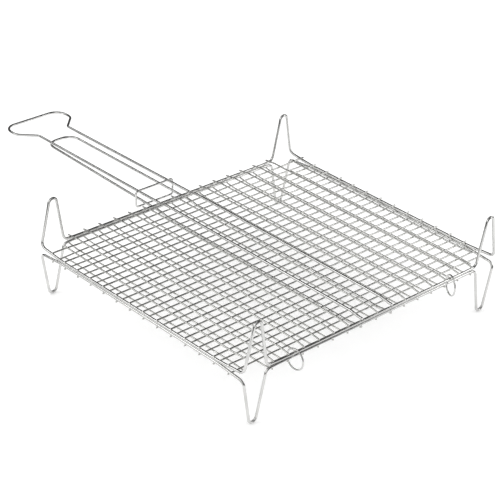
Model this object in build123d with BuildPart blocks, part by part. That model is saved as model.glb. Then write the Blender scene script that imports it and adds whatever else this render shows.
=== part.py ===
"""Hinged double grill grate of plated steel wire, standing on wire legs.

Two equal grates lie on each other. Each is a closed rim wire with four V-shaped legs bent into
it, cross wires welded over the rim, long wires welded over the cross wires, and a two-wire
handle. Two loose round rings join the rims at one end. A sliding rectangular ring holds the
handles together at the other.

Millimetres. +Z is up and the floor is at z = 0. X runs along the handle, which points to -X,
and the hinge is at +X. The origin is on the floor, midway between the four feet.
"""
import os
from math import acos, atan2, cos, degrees, floor, hypot, pi, radians, sin, tan

from build123d import *

# Wires
rim_wire = 4.0
mesh_wire = 2.4
handle_wire = 4.0
latch_wire = 2.8
hinge_wire = 2.5
weld_gap = 0.02  # left between welded wires, so that they touch without cutting in

# Rims
frame_length = 400.0  # along the handle, rim centre to rim centre
frame_width = 467.0  # across the handle, rim centre to rim centre
rim_gap = 0.4  # between the two rims when the grill is closed

# Legs, bent from the rim wire
leg_height = 72.0  # from the floor to the centre of the lower rim
leg_spread = 38.0  # between the two roots of one leg
leg_tip_bend = 6.5
leg_corner_bend = 6.0
leg_root_bend = 8.0

# Mesh
cross_pitch = 26.8
long_pitch = 26.5
edge_space = 16.0  # least distance from a rim to the mesh wire beside it
cross_overhang = 1.2  # how far a cross wire's cut end stands out past the rim
long_overhang = 1.0  # the same for a long wire, at the handle end
hinge_inset = 0.6  # how far wires stop short of the rim's outside, at the hinge
long_set_run = 15.0  # length over which a long wire's end is pressed down to the rim
outer_stub = 3.0  # the outermost long wires, over the legs, end this far past the last cross wire

# Handles
handle_spacing = 56.0  # between the two wires of a handle, on the grate
handle_step_run = 16.0  # length of the step from the mesh down to the rim
handle_step_bend = 12.0
handle_seat = 8.0  # length that lies on the rim
upper_reach = 331.0  # from the rim to the end bar
upper_drop = 4.0  # fall of the upper handle from the rim to its end
fishtail_length = 55.0  # from the neck to the end bar
fishtail_width = 104.0
neck_spacing = 54.0
neck_bend = 8.0
lobe_length = 31.0  # from the lobes' forward corners to the end bar
lobe_bend = 15.0
end_bend = 19.0
lower_reach = 262.0
lower_rise = 1.0
lower_end_spacing = 47.0
lower_end_bend = 18.0

# Latch ring
latch_place = 38.0  # from the rim to the ring's upper bar, at rest
latch_side_gap = 3.0  # beside each handle wire, with the ring in the middle
latch_shift = 2.0  # how far the ring has slid sideways
latch_rest_gap = 0.3  # over the upper handle, at rest
latch_play = 5.5  # under the lower handle, at rest
latch_lean = 3.0  # degrees, the lower bar hangs nearer to the grate
latch_bend = 4.5

# Hinge rings
ring_inside = 26.0
ring_place = 5.5  # in long wire pitches from the middle
ring_slack = 0.6  # between a ring and the upper rim's wire, at rest
ring_split = 0.6  # between a ring's two cut ends
left_ring_turn = 25.0  # degrees, how far the left ring has swung about the vertical

# Places and heights that follow from the sizes
half_length = frame_length / 2
half_width = frame_width / 2
rim_radius = rim_wire / 2
mesh_radius = mesh_wire / 2
handle_radius = handle_wire / 2
lower_rim_z = leg_height
upper_rim_z = leg_height + rim_wire + rim_gap
cross_lift = rim_radius + mesh_radius + weld_gap
long_lift = cross_lift + mesh_wire + weld_gap
handle_lift = cross_lift + mesh_radius + handle_radius + weld_gap
seat_lift = rim_radius + handle_radius + weld_gap
hinge_end = half_length + rim_radius - hinge_inset
handle_end = half_length + rim_radius + long_overhang
cross_pairs = floor((half_length - edge_space) / cross_pitch + 0.5)
long_places = floor((half_width - edge_space) / long_pitch)

os.makedirs("parts", exist_ok=True)


def save(name, wire):
    """Label a finished piece and write it."""
    wire.part.label = name
    export_step(wire.part, f"parts/{name}.step")


def rim_plane(side):
    """The plane of a rim's centre line. Its normal points out of the closed grill."""
    height = upper_rim_z if side > 0 else lower_rim_z
    return Plane(origin=(0, 0, height), x_dir=(1, 0, 0), z_dir=(0, 0, side))


def leg_point_depth():
    """How far below the rim the straight sides of a leg would meet, were the tip not rounded."""
    half = leg_spread / 2
    centre = leg_height - rim_radius - leg_tip_bend
    lean = acos(leg_tip_bend / hypot(half, centre)) - atan2(centre, half)
    return half / tan(lean)


def rim_end_y():
    """Where a rim's short side ends and the bend into the leg begins."""
    turn = pi / 2 - atan2(leg_spread / 2, leg_point_depth())
    return half_width - leg_spread - leg_root_bend * tan(turn / 2)


def set_angle(fall, run):
    """Slope of a wire end that starts the given height over a rim's centre and rests on the rim."""
    return acos(cross_lift / hypot(fall, run)) - atan2(run, fall)


# The rims: one wire each, bent down or up into a leg at every corner

def make_rim(name, side):
    """Half of the rim wire is swept and then mirrored across the handle's centre plane."""
    root = half_width - leg_spread
    tip = half_width - leg_spread / 2
    depth = leg_point_depth()
    bends = [leg_root_bend, leg_tip_bend, leg_corner_bend]
    with BuildPart() as rim:
        with BuildLine(rim_plane(side)) as path:
            FilletPolyline(
                (half_length, 0, 0),
                (half_length, root, 0),
                (half_length, tip, depth),
                (half_length, half_width, 0),
                (-half_length, half_width, 0),
                (-half_length, tip, depth),
                (-half_length, root, 0),
                (-half_length, 0, 0),
                radius=bends + bends[::-1],
            )
        with BuildSketch(Plane(origin=path.line @ 0, z_dir=path.line % 0)):
            Circle(rim_radius)
        sweep()
        mirror(about=Plane.XZ)
    save(name, rim)


# The mesh: cross wires lie on the rim, long wires lie on the cross wires

def make_cross_wires(grate, side):
    """Straight wires over the rim's two long sides, numbered from the handle to the hinge."""
    reach = half_width + rim_radius + cross_overhang
    for number in range(2 * cross_pairs):
        x = (number - cross_pairs + 0.5) * cross_pitch
        middle = rim_plane(side).from_local_coords((x, 0, cross_lift))
        with BuildPart() as wire:
            with BuildSketch(Plane(origin=middle, z_dir=(0, 1, 0))):
                Circle(mesh_radius)
            extrude(amount=reach, both=True)
        save(f"{grate}_cross_wire_{number + 1:02d}", wire)


def long_wire_path(place):
    """Points of one long wire: flat over the mesh, with both ends pressed down to the rim.

    There is no rim under the outermost wires' ends, between the roots of the legs. They are cut
    short and hold to the cross wires only.
    """
    y = place * long_pitch
    if y > rim_end_y() - mesh_radius:
        end = (cross_pairs - 0.5) * cross_pitch + mesh_radius + outer_stub
        return [(end, y, long_lift), (-end, y, long_lift)]
    slope = set_angle(long_lift, long_set_run)
    hinge_fall = tan(slope) * (long_set_run + hinge_end - half_length)
    handle_fall = tan(slope) * (long_set_run + handle_end - half_length)
    return [
        (hinge_end, y, long_lift - hinge_fall),
        (half_length - long_set_run, y, long_lift),
        (long_set_run - half_length, y, long_lift),
        (-handle_end, y, long_lift - handle_fall),
    ]


def make_long_wires(grate, side):
    """The middle wire alone, and the others as left and right pairs.

    The handle's wires take the place of the pair beside the middle.
    """
    for place in range(long_places + 1):
        if place * long_pitch < handle_spacing / 2 + long_pitch / 2 and place > 0:
            continue
        with BuildPart() as wires:
            with BuildLine(rim_plane(side)) as path:
                Polyline(*long_wire_path(place))
            with BuildSketch(Plane(origin=path.line @ 0, z_dir=path.line % 0)):
                Circle(mesh_radius)
            sweep(transition=Transition.RIGHT)
            if place > 0:
                mirror(about=Plane.XZ)
        if place > 0:
            save(f"{grate}_long_wires_{place}", wires)
        else:
            save(f"{grate}_long_wire_middle", wires)


# The handles: each is one wire that runs over the whole grate, out, round and back

def handle_root():
    """Points of one handle wire from its end at the hinge to just outside the other rim."""
    y = handle_spacing / 2
    seat = handle_seat / 2
    step = seat + handle_step_run
    return [
        (half_length + rim_radius - hinge_inset, y, seat_lift),
        (half_length - seat, y, seat_lift),
        (half_length - step, y, handle_lift),
        (step - half_length, y, handle_lift),
        (seat - half_length, y, seat_lift),
        (-seat - half_length, y, seat_lift),
    ]


def upper_lift(reach):
    """Height of the upper handle over its rim, at a distance outside the rim."""
    seat = handle_seat / 2
    return seat_lift - upper_drop * (reach - seat) / (upper_reach - seat)


def lower_lift(reach):
    """The same for the lower handle, counted downwards."""
    seat = handle_seat / 2
    return seat_lift - lower_rise * (reach - seat) / (lower_reach - seat)


def make_handle(name, side, outline, bends):
    """Half of the handle is swept from the hinge to the middle of its end, then mirrored."""
    root = handle_root()
    step_bends = [handle_step_bend] * (len(root) - 1)
    with BuildPart() as handle:
        with BuildLine(rim_plane(side)) as path:
            FilletPolyline(*root, *outline, radius=step_bends + bends)
        with BuildSketch(Plane(origin=path.line @ 0, z_dir=path.line % 0)):
            Circle(handle_radius)
        sweep()
        mirror(about=Plane.XZ)
    save(name, handle)


def make_upper_handle():
    """The long handle, which ends in a fishtail with a straight bar."""
    neck_reach = upper_reach - fishtail_length
    lobe_reach = upper_reach - lobe_length
    outline = [
        (-half_length - neck_reach, neck_spacing / 2, upper_lift(neck_reach)),
        (-half_length - lobe_reach, fishtail_width / 2, upper_lift(lobe_reach)),
        (-half_length - upper_reach, fishtail_width / 2, upper_lift(upper_reach)),
        (-half_length - upper_reach, 0, upper_lift(upper_reach)),
    ]
    make_handle("upper_handle", 1, outline, [neck_bend, lobe_bend, end_bend])


def make_lower_handle():
    """The short handle, a long narrow U."""
    outline = [
        (-half_length - lower_reach, lower_end_spacing / 2, lower_lift(lower_reach)),
        (-half_length - lower_reach, 0, lower_lift(lower_reach)),
    ]
    make_handle("lower_handle", -1, outline, [lower_end_bend])


# The latch ring, which slides along the handles

def make_latch_ring():
    """A rectangular ring that hangs on the upper handle and passes under the lower one."""
    lean = radians(latch_lean)
    latch_radius = latch_wire / 2
    touch = handle_radius + latch_radius
    top_x = -half_length - latch_place
    top_z = upper_rim_z + upper_lift(latch_place) + touch + latch_rest_gap
    bottom_z = lower_rim_z - lower_lift(latch_place) - touch - latch_play
    height = (top_z - bottom_z) / cos(lean)
    half_inside = handle_spacing / 2 + handle_radius + latch_side_gap
    half_across = half_inside + latch_radius
    ring_plane = Plane(
        origin=(top_x, -latch_shift, top_z),
        x_dir=(0, 1, 0),
        z_dir=(-cos(lean), 0, -sin(lean)),
    )
    with BuildPart() as ring:
        with BuildLine(ring_plane) as path:
            FilletPolyline(
                (0, 0),
                (half_across, 0),
                (half_across, height),
                (0, height),
                radius=latch_bend,
            )
        with BuildSketch(Plane(origin=path.line @ 0, z_dir=path.line % 0)):
            Circle(latch_radius)
        sweep()
        mirror(about=Plane.XZ.offset(latch_shift))
    save("latch_ring", ring)
    travel = lower_reach + touch - latch_place + height * sin(lean)
    print(f"the latch ring slides {travel:.1f} mm to clear the lower handle")


# The hinge rings, which hang on the upper rim and pass round both

def make_hinge_rings():
    """Two round rings of bent wire, each with its cut ends nearly closed at the bottom."""
    middle_radius = (ring_inside + hinge_wire) / 2
    centre_z = upper_rim_z + rim_radius + ring_slack - ring_inside / 2
    arc = 360 - degrees(ring_split / middle_radius)
    for name, sign, turn in (("hinge_ring_right", -1, 0), ("hinge_ring_left", 1, left_ring_turn)):
        centre = (half_length, sign * ring_place * long_pitch, centre_z)
        facing = (cos(radians(turn)), -sin(radians(turn)), 0)
        start = Plane(origin=centre, x_dir=(0, 0, -1), z_dir=facing)
        with BuildPart() as ring:
            with BuildSketch(start):
                with Locations((middle_radius, 0)):
                    Circle(hinge_wire / 2)
            revolve(axis=Axis(centre, start.y_dir), revolution_arc=arc)
        save(name, ring)


for grate, side in (("lower", -1), ("upper", 1)):
    make_rim(f"{grate}_rim", side)
    make_cross_wires(grate, side)
    make_long_wires(grate, side)
make_upper_handle()
make_lower_handle()
make_latch_ring()
make_hinge_rings()
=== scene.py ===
"""Looks of a hinged double grill grate of plated steel wire.

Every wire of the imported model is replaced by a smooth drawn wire, its cut ends worn at the edge. Welds are
added where wires cross, and the grill stands in a white studio. Metres, in the model's own frame: +Z is up,
the floor is at z = 0, the handle points to -X and the hinge is at +X.
"""
import random
from math import acos, atan2, ceil, cos, hypot, pi, radians, sin, tan

import bmesh
import bpy
from mathutils import Matrix, Quaternion, Vector


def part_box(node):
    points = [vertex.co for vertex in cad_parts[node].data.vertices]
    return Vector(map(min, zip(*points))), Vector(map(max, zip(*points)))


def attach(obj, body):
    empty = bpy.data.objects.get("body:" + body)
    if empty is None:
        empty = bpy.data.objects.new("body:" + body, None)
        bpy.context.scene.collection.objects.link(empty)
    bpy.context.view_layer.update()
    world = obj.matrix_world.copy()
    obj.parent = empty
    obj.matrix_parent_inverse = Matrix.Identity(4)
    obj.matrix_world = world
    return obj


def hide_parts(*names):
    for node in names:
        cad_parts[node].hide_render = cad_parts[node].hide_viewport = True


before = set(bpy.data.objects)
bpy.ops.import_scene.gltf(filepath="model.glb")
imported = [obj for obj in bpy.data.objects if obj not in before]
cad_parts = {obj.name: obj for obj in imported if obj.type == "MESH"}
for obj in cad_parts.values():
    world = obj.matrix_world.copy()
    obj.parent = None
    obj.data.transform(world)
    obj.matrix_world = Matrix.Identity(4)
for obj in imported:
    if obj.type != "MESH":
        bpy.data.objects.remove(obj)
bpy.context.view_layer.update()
MM = 0.001

# Sizes of the wires' bends
leg_spread = 38.0 * MM
leg_tip_bend = 6.5 * MM
leg_corner_bend = 8.5 * MM
leg_root_bend = 8.0 * MM
long_set_run = 15.0 * MM
long_set_bend = 10.0 * MM
handle_spacing = 56.0 * MM
handle_step_run = 16.0 * MM
handle_step_bend = 12.0 * MM
handle_seat = 8.0 * MM
fishtail_length = 55.0 * MM
neck_spacing = 54.0 * MM
neck_bend = 8.0 * MM
lobe_length = 31.0 * MM
lobe_bend = 15.0 * MM
end_bend = 19.0 * MM
lower_end_spacing = 47.0 * MM
lower_end_bend = 18.0 * MM
latch_bend = 4.5 * MM
weld_gap = 0.02 * MM
lower_end_lift = 1.0 * MM
ring_split = 0.6 * MM
corner_flare = 3.2 * MM
flare_start = (150.0 * MM, 170.0 * MM)
cross_trim = 0.9 * MM

# Wires, read from the model
mesh_radius = (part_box("upper_cross_wire_01")[1].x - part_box("upper_cross_wire_01")[0].x) / 2
rim_radius = 2.0 * MM
handle_radius = 2.0 * MM
latch_radius = 1.4 * MM
hinge_radius = (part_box("hinge_ring_right")[1].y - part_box("hinge_ring_right")[0].y) / 2

rim_low, rim_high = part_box("upper_rim")
half_length = rim_high.x - rim_radius
half_width = rim_high.y - rim_radius
leg_height = rim_high.z - rim_low.z - 2 * rim_radius
rim_z = {"upper": rim_low.z + rim_radius, "lower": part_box("lower_rim")[1].z - rim_radius}
side_of = {"upper": 1, "lower": -1}
cross_lift = rim_radius + mesh_radius + weld_gap
long_lift = cross_lift + 2 * mesh_radius + weld_gap
handle_lift = cross_lift + mesh_radius + handle_radius + weld_gap
seat_lift = rim_radius + handle_radius + weld_gap

# Cut ends and weld beads, as shares of the wire's radius
end_wear = 0.16
end_face = 0.86
bead_size = (0.62, 0.85)
bead_length = 1.25
bead_height = 0.55
bead_slip = 0.25 * MM

# Fineness of the wires' meshes
thick_sides = 20
thin_sides = 12
ring_steps = 48
arc_step = radians(9)
run_step = 12.0 * MM
smooth_angle = radians(40)

# Rows of the mesh
cross_count = 14
long_places = (0, 2, 3, 4, 5, 6, 7, 8)

# Plating
cloud_scale = 60.0
cloud_shade = 0.86
dull_range = (-0.05, 0.08)
draw_line_bump = 0.12
draw_line_depth = 0.1 * MM

# Studio. Heights of the cards are elevations in degrees
table_edge = 0.85
card_distance = 1.7
card_lift = 0.002
card_step = 2
card_rows = 8
rim_card_top = 10
card_top = 76
floor_size = 30.0
board_place = 0.4
board_span = (-0.25, 0.95)
board_height = (0.352, 0.95)
floor_lift = 0.235
room_light = 0.85


def unit(vector):
    return vector.normalized()


def bent(corners, bends, closed=False):
    """Points of a wire's centre line: straight runs joined by tangent arcs."""
    corners = [Vector(c) for c in corners]
    count = len(corners)
    bends = list(bends)
    if not closed:
        bends = [0] + bends + [0]
    line = []
    for i, corner in enumerate(corners):
        if bends[i] == 0:
            line.append(corner)
            continue
        back = unit(corners[i - 1] - corner)
        ahead = unit(corners[(i + 1) % count] - corner)
        turn = pi - back.angle(ahead)
        if turn < 1e-5:
            line.append(corner)
            continue
        tangent = bends[i] * tan(turn / 2)
        centre = corner + unit(back + ahead) * bends[i] / cos(turn / 2)
        first = corner + back * tangent - centre
        axis = first.cross(corner + ahead * tangent - centre)
        steps = max(2, ceil(turn / arc_step))
        for step in range(steps + 1):
            line.append(centre + Quaternion(axis, turn * step / steps) @ first)
    return split_runs(line, closed)


def split_runs(line, closed):
    """Adds points to the long straight runs, so that they can bow."""
    count = len(line)
    points = []
    for i in range(count if closed else count - 1):
        start, end = line[i], line[(i + 1) % count]
        length = (end - start).length
        if length < 1e-7:
            continue
        pieces = max(1, ceil(length / run_step))
        points += [start.lerp(end, k / pieces) for k in range(pieces)]
    if not closed:
        points.append(line[-1])
    return points


def tube(mesh, points, radius, sides, closed=False):
    """Adds a round wire to a bmesh. An open wire ends in a flat cut with a worn edge."""
    count = len(points)
    tangents = []
    for i in range(count):
        before = points[i - 1] if closed or i else points[0]
        after = points[(i + 1) % count] if closed or i < count - 1 else points[-1]
        tangents.append(unit(after - before))
    across = unit(tangents[0].orthogonal())
    frames = []
    for i in range(count):
        if i:
            across = tangents[i - 1].rotation_difference(tangents[i]) @ across
        across = unit(across - tangents[i] * across.dot(tangents[i]))
        frames.append(across)
    twist = 0.0
    if closed:
        last = tangents[-1].rotation_difference(tangents[0]) @ frames[-1]
        twist = atan2(tangents[0].dot(frames[0].cross(last)), frames[0].dot(last))
    rings = []
    for i in range(count):
        rings.append(ring(mesh, points[i], tangents[i], frames[i], radius, sides, -twist * i / count))
    if not closed:
        edge = radius * end_wear
        rings[0] = ring_moved(rings[0], tangents[0], edge)
        rings[-1] = ring_moved(rings[-1], tangents[-1], -edge)
        start = ring(mesh, points[0], tangents[0], frames[0], radius * end_face, sides)
        end = ring(mesh, points[-1], tangents[-1], frames[-1], radius * end_face, sides)
        rings = [start] + rings + [end]
    total = len(rings)
    for i in range(total if closed else total - 1):
        one, two = rings[i], rings[(i + 1) % total]
        for k in range(sides):
            j = (k + 1) % sides
            mesh.faces.new((one[k], one[j], two[j], two[k]))
    if not closed:
        mesh.faces.new(rings[0][::-1])
        mesh.faces.new(rings[-1])


def ring(mesh, centre, tangent, across, radius, sides, turn=0.0):
    """One round of vertices, turned by an angle about the wire."""
    up = tangent.cross(across)
    verts = []
    for k in range(sides):
        angle = turn + 2 * pi * k / sides
        offset = across * cos(angle) + up * sin(angle)
        verts.append(mesh.verts.new(centre + offset * radius))
    return verts


def ring_moved(verts, tangent, distance):
    for vert in verts:
        vert.co += tangent * distance
    return verts


def ease(value, start, end):
    """Rises smoothly from 0 to 1 between two values."""
    share = min(1.0, max(0.0, (value - start) / (end - start)))
    return share * share * (3 - 2 * share)


def flare_corners(mesh, grate):
    """Forming the legs has sprung each grate's corners away from the other grate. The feet stay put."""
    for vert in mesh.verts:
        x, y, z = vert.co
        corner = ease(abs(x), flare_start[0], half_length) * ease(abs(y), flare_start[1], half_width)
        fade = max(0.0, 1 - abs(z - rim_z[grate]) / leg_height)
        vert.co.z += side_of[grate] * corner_flare * corner * fade


def finish_piece(name, mesh, body, nodes, material):
    """Makes the object of a bmesh, smooth but for its cut ends, and ties it to the frame."""
    if body.endswith("_grate"):
        flare_corners(mesh, body.split("_")[0])
    data = bpy.data.meshes.new(name)
    bmesh.ops.recalc_face_normals(mesh, faces=mesh.faces)
    mesh.to_mesh(data)
    mesh.free()
    data.shade_smooth()
    data.set_sharp_from_angle(angle=smooth_angle)
    data.materials.append(material)
    piece = bpy.data.objects.new(name, data)
    bpy.context.scene.collection.objects.link(piece)
    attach(piece, body)
    if nodes:
        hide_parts(*nodes)
    return piece


# Material

def plated_steel(name, tint, rough, grain):
    """Bright zinc plating over drawn wire: faint cloudiness, draw lines and small dull spots."""
    material = bpy.data.materials.new(name)
    material.use_nodes = True
    nodes, links = material.node_tree.nodes, material.node_tree.links
    shader = nodes["Principled BSDF"]
    shader.inputs["Metallic"].default_value = 1.0
    coords = nodes.new("ShaderNodeTexCoord")
    clouds = nodes.new("ShaderNodeTexNoise")
    clouds.inputs["Scale"].default_value = cloud_scale
    clouds.inputs["Detail"].default_value = 4.0
    links.new(coords.outputs["Object"], clouds.inputs["Vector"])
    colour = nodes.new("ShaderNodeValToRGB")
    colour.color_ramp.elements[0].position = 0.3
    colour.color_ramp.elements[0].color = [c * cloud_shade for c in tint] + [1]
    colour.color_ramp.elements[1].position = 0.7
    colour.color_ramp.elements[1].color = list(tint) + [1]
    links.new(clouds.outputs["Fac"], colour.inputs["Fac"])
    links.new(colour.outputs["Color"], shader.inputs["Base Color"])
    dull = nodes.new("ShaderNodeMapRange")
    dull.inputs["To Min"].default_value = rough + dull_range[0]
    dull.inputs["To Max"].default_value = rough + dull_range[1]
    links.new(clouds.outputs["Fac"], dull.inputs["Value"])
    links.new(dull.outputs["Result"], shader.inputs["Roughness"])
    lines = nodes.new("ShaderNodeTexNoise")
    lines.inputs["Scale"].default_value = grain
    lines.inputs["Detail"].default_value = 3.0
    links.new(coords.outputs["Object"], lines.inputs["Vector"])
    bump = nodes.new("ShaderNodeBump")
    bump.inputs["Strength"].default_value = draw_line_bump
    bump.inputs["Distance"].default_value = draw_line_depth
    links.new(lines.outputs["Fac"], bump.inputs["Height"])
    links.new(bump.outputs["Normal"], shader.inputs["Normal"])
    return material


frame_metal = plated_steel("frame_wire_metal", (0.68, 0.68, 0.67), 0.13, 900.0)
mesh_metal = plated_steel("mesh_wire_metal", (0.66, 0.66, 0.64), 0.14, 1200.0)
weld_metal = plated_steel("weld_metal", (0.6, 0.6, 0.57), 0.34, 1500.0)


# Rims

def leg_depth():
    """How far from the rim the sides of a leg would meet, were its tip not rounded."""
    half = leg_spread / 2
    centre = leg_height - leg_tip_bend
    lean = acos(leg_tip_bend / hypot(half, centre)) - atan2(centre, half)
    return half / tan(lean)


def make_rim(grate):
    side, z = side_of[grate], rim_z[grate]
    root = half_width - leg_spread
    tip = half_width - leg_spread / 2
    far = z + side * leg_depth()
    quarter = [(root, z, leg_root_bend), (tip, far, leg_tip_bend), (half_width, z, leg_corner_bend)]
    corners, bends = [], []
    for x_sign, y_sign in ((1, 1), (-1, 1), (-1, -1), (1, -1)):
        order = quarter if x_sign * y_sign > 0 else quarter[::-1]
        for y, height, radius in order:
            corners.append((x_sign * half_length, y_sign * y, height))
            bends.append(radius)
    mesh = bmesh.new()
    tube(mesh, bent(corners, bends, closed=True), rim_radius, thick_sides, closed=True)
    finish_piece(f"{grate}_rim_wire", mesh, f"{grate}_grate", [f"{grate}_rim"], frame_metal)


# Mesh wires

def long_node(grate, place):
    return f"{grate}_long_wires_{place}" if place else f"{grate}_long_wire_middle"


def row_place(node, place):
    """How far a long wire is from the middle of the grate."""
    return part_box(node)[1].y - mesh_radius if place else 0.0


def make_cross_wires(grate):
    for number in range(1, cross_count + 1):
        node = f"{grate}_cross_wire_{number:02d}"
        low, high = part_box(node)
        x, z = (low.x + high.x) / 2, (low.z + high.z) / 2
        mesh = bmesh.new()
        line = bent([(x, low.y + cross_trim, z), (x, high.y - cross_trim, z)], [])
        tube(mesh, line, mesh_radius, thin_sides)
        finish_piece(f"{node}_drawn", mesh, f"{grate}_grate", [node], mesh_metal)


def make_long_wires(grate):
    side = side_of[grate]
    for place in long_places:
        node = long_node(grate, place)
        low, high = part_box(node)
        y = row_place(node, place)
        flat = rim_z[grate] + side * long_lift
        end = rim_z[grate] + side * cross_lift
        mesh = bmesh.new()
        for sign in ((1, -1) if place else (1,)):
            path = [(high.x, sign * y, flat), (low.x, sign * y, flat)]
            if high.x > half_length:
                path = [
                    (high.x, sign * y, end),
                    (half_length - long_set_run, sign * y, flat),
                    (long_set_run - half_length, sign * y, flat),
                    (low.x, sign * y, end),
                ]
            tube(mesh, bent(path, [long_set_bend] * (len(path) - 2)), mesh_radius, thin_sides)
        finish_piece(f"{node}_drawn", mesh, f"{grate}_grate", [node], mesh_metal)


# Welds

def nugget(mesh, centre, along, width, height):
    """A low bead of squeezed-out metal between two crossing wires."""
    turn = Vector((1, 0, 0)).rotation_difference(Vector(along)).to_matrix().to_4x4()
    shape = Matrix.Translation(centre) @ turn @ Matrix.Diagonal((width * bead_length, width, height, 1))
    bmesh.ops.create_icosphere(mesh, subdivisions=1, radius=1.0, matrix=shape)


def make_welds(grate):
    """Beads where the mesh wires and the handle cross, and where they lie on the rim."""
    side, z = side_of[grate], rim_z[grate]
    random.seed(7 if side > 0 else 11)
    mesh_height = z + side * (cross_lift + mesh_radius)
    rim_height = z + side * rim_radius
    mesh = bmesh.new()

    def bead(x, y, height, along):
        size = mesh_radius * random.uniform(*bead_size)
        slip = random.uniform(-bead_slip, bead_slip)
        nugget(mesh, (x + slip, y - slip, height), along, size, size * bead_height)

    rows = []
    for place in long_places:
        y = row_place(long_node(grate, place), place)
        rows += [y, -y] if place else [y]
    handle_y = handle_spacing / 2
    for number in range(1, cross_count + 1):
        low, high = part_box(f"{grate}_cross_wire_{number:02d}")
        x = (low.x + high.x) / 2
        for y in rows + [handle_y, -handle_y]:
            bead(x, y, mesh_height, (1, 0, 0))
        for y in (half_width, -half_width):
            bead(x, y, rim_height, (0, 1, 0))
    for x in (half_length, -half_length):
        for y in rows + [handle_y, -handle_y]:
            if abs(y) < half_width - leg_spread:
                bead(x, y, rim_height, (0, 1, 0))
    finish_piece(f"{grate}_welds", mesh, f"{grate}_grate", [], weld_metal)


# Handles

def handle_root(grate):
    side, z, y = side_of[grate], rim_z[grate], handle_spacing / 2
    seat = handle_seat / 2
    step = seat + handle_step_run
    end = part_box(f"{grate}_handle")[1].x
    return [
        (end, y, z + side * seat_lift),
        (half_length - seat, y, z + side * seat_lift),
        (half_length - step, y, z + side * handle_lift),
        (step - half_length, y, z + side * handle_lift),
        (seat - half_length, y, z + side * seat_lift),
        (-seat - half_length, y, z + side * seat_lift),
    ]


def make_upper_handle():
    low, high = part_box("upper_handle")
    wide = high.y - handle_radius
    end_x = low.x + handle_radius
    start_z = rim_z["upper"] + seat_lift
    end_z = low.z + handle_radius
    seat_x = -half_length - handle_seat / 2

    def place(x, y):
        return (x, y, start_z + (end_z - start_z) * (seat_x - x) / (seat_x - end_x))

    right = handle_root("upper") + [
        place(end_x + fishtail_length, neck_spacing / 2),
        place(end_x + lobe_length, wide),
        place(end_x, wide),
    ]
    left = [(x, -y, z) for x, y, z in right[::-1]]
    half_bends = [handle_step_bend] * 5 + [neck_bend, lobe_bend, end_bend]
    mesh = bmesh.new()
    tube(mesh, bent(right + left, half_bends + half_bends[::-1]), handle_radius, thick_sides)
    finish_piece("upper_handle_wire", mesh, "upper_grate", ["upper_handle"], frame_metal)


def make_lower_handle():
    low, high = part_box("lower_handle")
    end_x = low.x + handle_radius
    z = rim_z["lower"] - seat_lift
    right = handle_root("lower") + [(end_x, lower_end_spacing / 2, z + lower_end_lift)]
    left = [(x, -y, z) for x, y, z in right[::-1]]
    half_bends = [handle_step_bend] * 5 + [lower_end_bend]
    mesh = bmesh.new()
    tube(mesh, bent(right + left, half_bends + half_bends[::-1]), handle_radius, thick_sides)
    finish_piece("lower_handle_wire", mesh, "lower_grate", ["lower_handle"], frame_metal)


# Rings

def make_latch_ring():
    low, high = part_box("latch_ring")
    top_x, bottom_x = low.x + latch_radius, high.x - latch_radius
    top_z, bottom_z = high.z - latch_radius, low.z + latch_radius
    right, left = low.y + latch_radius, high.y - latch_radius
    corners = [
        (top_x, left, top_z),
        (bottom_x, left, bottom_z),
        (bottom_x, right, bottom_z),
        (top_x, right, top_z),
    ]
    mesh = bmesh.new()
    tube(mesh, bent(corners, [latch_bend] * 4, closed=True), latch_radius, thick_sides, closed=True)
    finish_piece("latch_ring_wire", mesh, "latch_ring", ["latch_ring"], frame_metal)


def make_hinge_ring(node):
    low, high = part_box(node)
    centre = (low + high) / 2
    radius = (high.z - low.z) / 2 - hinge_radius
    turn = atan2(high.y - low.y - 2 * hinge_radius, high.x - low.x - 2 * hinge_radius)
    gap = ring_split / 2 / radius
    points = []
    for i in range(ring_steps + 1):
        angle = gap + (2 * pi - 2 * gap) * i / ring_steps
        across = sin(angle) * radius
        points.append(centre + Vector((across * cos(turn), -across * sin(turn), -cos(angle) * radius)))
    mesh = bmesh.new()
    tube(mesh, points, hinge_radius, thick_sides)
    finish_piece(f"{node}_wire", mesh, node, [node], frame_metal)


# Studio

def matt(name, colour):
    material = bpy.data.materials.new(name)
    material.use_nodes = True
    shader = material.node_tree.nodes["Principled BSDF"]
    shader.inputs["Base Color"].default_value = (*colour, 1)
    shader.inputs["Roughness"].default_value = 1.0
    shader.inputs["Specular IOR Level"].default_value = 0.0
    return material, shader


def strength_where_seen(tree, socket, unseen, seen):
    """Gives camera, glossy and transmission rays one strength, and the rays that light things another."""
    rays = tree.nodes.new("ShaderNodeLightPath")
    value = rays.outputs["Is Camera Ray"]
    for ray in ("Is Glossy Ray", "Is Transmission Ray"):
        either = tree.nodes.new("ShaderNodeMath")
        either.operation = "MAXIMUM"
        tree.links.new(value, either.inputs[0])
        tree.links.new(rays.outputs[ray], either.inputs[1])
        value = either.outputs["Value"]
    strength = tree.nodes.new("ShaderNodeMapRange")
    strength.inputs["To Min"].default_value = unseen
    strength.inputs["To Max"].default_value = seen
    tree.links.new(value, strength.inputs["Value"])
    tree.links.new(strength.outputs["Result"], socket)


def make_floor():
    """A white floor. It keeps the shadow, and is lifted to white for the camera and for reflections."""
    data = bpy.data.meshes.new("studio_floor")
    corners = [(x * floor_size, y * floor_size, 0) for x, y in ((-1, -1), (1, -1), (1, 1), (-1, 1))]
    data.from_pydata(corners, [], [(0, 1, 2, 3)])
    floor = bpy.data.objects.new("studio_floor", data)
    bpy.context.scene.collection.objects.link(floor)
    material, shader = matt("studio_floor_white", (0.9, 0.9, 0.9))
    shader.inputs["Emission Color"].default_value = (1, 1, 1, 1)
    strength_where_seen(material.node_tree, shader.inputs["Emission Strength"], 0.0, floor_lift)
    data.materials.append(material)


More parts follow.
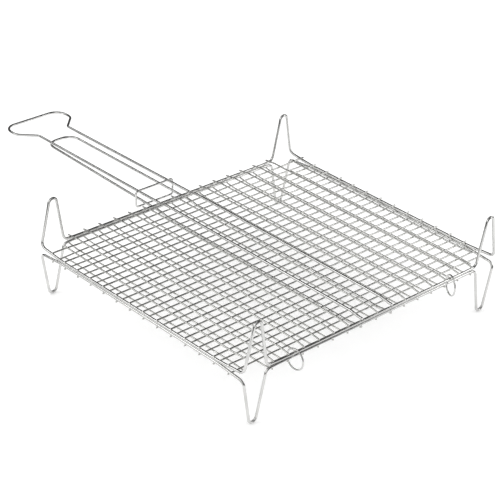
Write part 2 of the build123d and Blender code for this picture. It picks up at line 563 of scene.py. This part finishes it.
def make_flags():
    """Dark cards round the white table and a dark board behind it, seen only in the wires' reflections.

    They draw the dark lines along the bright wire, as flags do when such a thing is photographed. Each
    row gives the directions that one card covers, as azimuths and elevations in degrees.
    """
    cards = [
        (-180, 180, 0, rim_card_top),
        (-30, 36, rim_card_top, card_top),
        (36, 84, 50, card_top),
        (84, 180, rim_card_top, card_top),
        (-180, -142, rim_card_top, 30),
        (-180, -142, 36, card_top),
        (-142, -110, rim_card_top, 18),
        (-142, -110, 48, card_top),
    ]
    mesh = bmesh.new()

    def corner(azimuth, elevation, distance):
        flat = cos(radians(elevation)) * distance
        height = sin(radians(elevation)) * distance + card_lift
        around = radians(azimuth)
        return mesh.verts.new((flat * cos(around), flat * sin(around), height))

    for start, end, low, high in cards:
        for azimuth in range(start, end, card_step):
            beside = azimuth + card_step
            for k in range(card_rows):
                bottom = low + (high - low) * k / card_rows
                top = low + (high - low) * (k + 1) / card_rows
                sides = ((azimuth, bottom), (beside, bottom), (beside, top), (azimuth, top))
                mesh.faces.new([corner(a, e, card_distance) for a, e in sides])
    (left, right), (bottom, top) = board_span, board_height
    board = [(left, bottom), (right, bottom), (right, top), (left, top)]
    mesh.faces.new([mesh.verts.new((x, board_place, z)) for x, z in board])
    for azimuth in range(-180, 180, card_step):
        near = [corner(a, 0, table_edge) for a in (azimuth, azimuth + card_step)]
        far = [corner(a, 0, card_distance) for a in (azimuth + card_step, azimuth)]
        mesh.faces.new(near + far)
    data = bpy.data.meshes.new("studio_dark_cards")
    mesh.to_mesh(data)
    mesh.free()
    data.materials.append(matt("studio_card_black", (0.08, 0.08, 0.08))[0])
    flags = bpy.data.objects.new("studio_dark_cards", data)
    bpy.context.scene.collection.objects.link(flags)
    flags.visible_camera = False
    flags.visible_diffuse = False
    flags.visible_transmission = False
    flags.visible_shadow = False


def make_world():
    world = bpy.data.worlds.new("studio_white")
    bpy.context.scene.world = world
    world.use_nodes = True
    background = world.node_tree.nodes["Background"]
    background.inputs["Color"].default_value = (1, 1, 1, 1)
    strength_where_seen(world.node_tree, background.inputs["Strength"], room_light, 1.0)


def make_softbox(name, place, aim, width, height, power):
    lamp = bpy.data.lights.new(name, "AREA")
    lamp.shape = "RECTANGLE"
    lamp.size = width
    lamp.size_y = height
    lamp.energy = power
    holder = bpy.data.objects.new(name, lamp)
    bpy.context.scene.collection.objects.link(holder)
    holder.location = place
    holder.rotation_mode = "QUATERNION"
    holder.rotation_quaternion = (Vector(aim) - Vector(place)).to_track_quat("-Z", "Y")


def make_camera():
    """The photograph's viewpoint, fitted to the corners and leg tips of the grill."""
    azimuth, elevation, roll = radians(45.31), radians(29.31), radians(3.29)
    distance, focal_pixels, picture_pixels = 2.493, 1810.0, 500.0
    aim = Vector((-44.2, 6.4, 60.0)) * MM
    back = Vector((sin(azimuth) * cos(elevation), -cos(azimuth) * cos(elevation), sin(elevation)))
    right = Vector((cos(azimuth), sin(azimuth), 0))
    up = back.cross(right)
    right, up = right * cos(roll) + up * sin(roll), up * cos(roll) - right * sin(roll)
    lens = bpy.data.cameras.new("camera")
    lens.sensor_width = 36.0
    lens.lens = lens.sensor_width * focal_pixels / picture_pixels
    lens.clip_start = 0.05
    lens.clip_end = 100.0
    camera = bpy.data.objects.new("camera", lens)
    bpy.context.scene.collection.objects.link(camera)
    place = Matrix((right, up, back)).transposed().to_4x4()
    place.translation = aim + back * distance
    camera.matrix_world = place
    bpy.context.scene.camera = camera


for grate in ("lower", "upper"):
    make_rim(grate)
    make_cross_wires(grate)
    make_long_wires(grate)
    make_welds(grate)
make_upper_handle()
make_lower_handle()
make_latch_ring()
for node in ("hinge_ring_right", "hinge_ring_left"):
    make_hinge_ring(node)
make_floor()
make_flags()
make_world()
make_softbox("softbox_left", (-1.6, -1.6, 1.5), (0, 0, 0.1), 2.4, 1.2, 13.0)
make_softbox("softbox_top", (-1.3, -0.5, 2.2), (0, 0, 0), 1.8, 1.8, 9.0)
make_softbox("softbox_right", (1.2, 1.34, 1.08), (0, 0, 0.1), 1.2, 0.75, 5.5)
make_camera()

scene = bpy.context.scene
scene.view_settings.view_transform = "Standard"
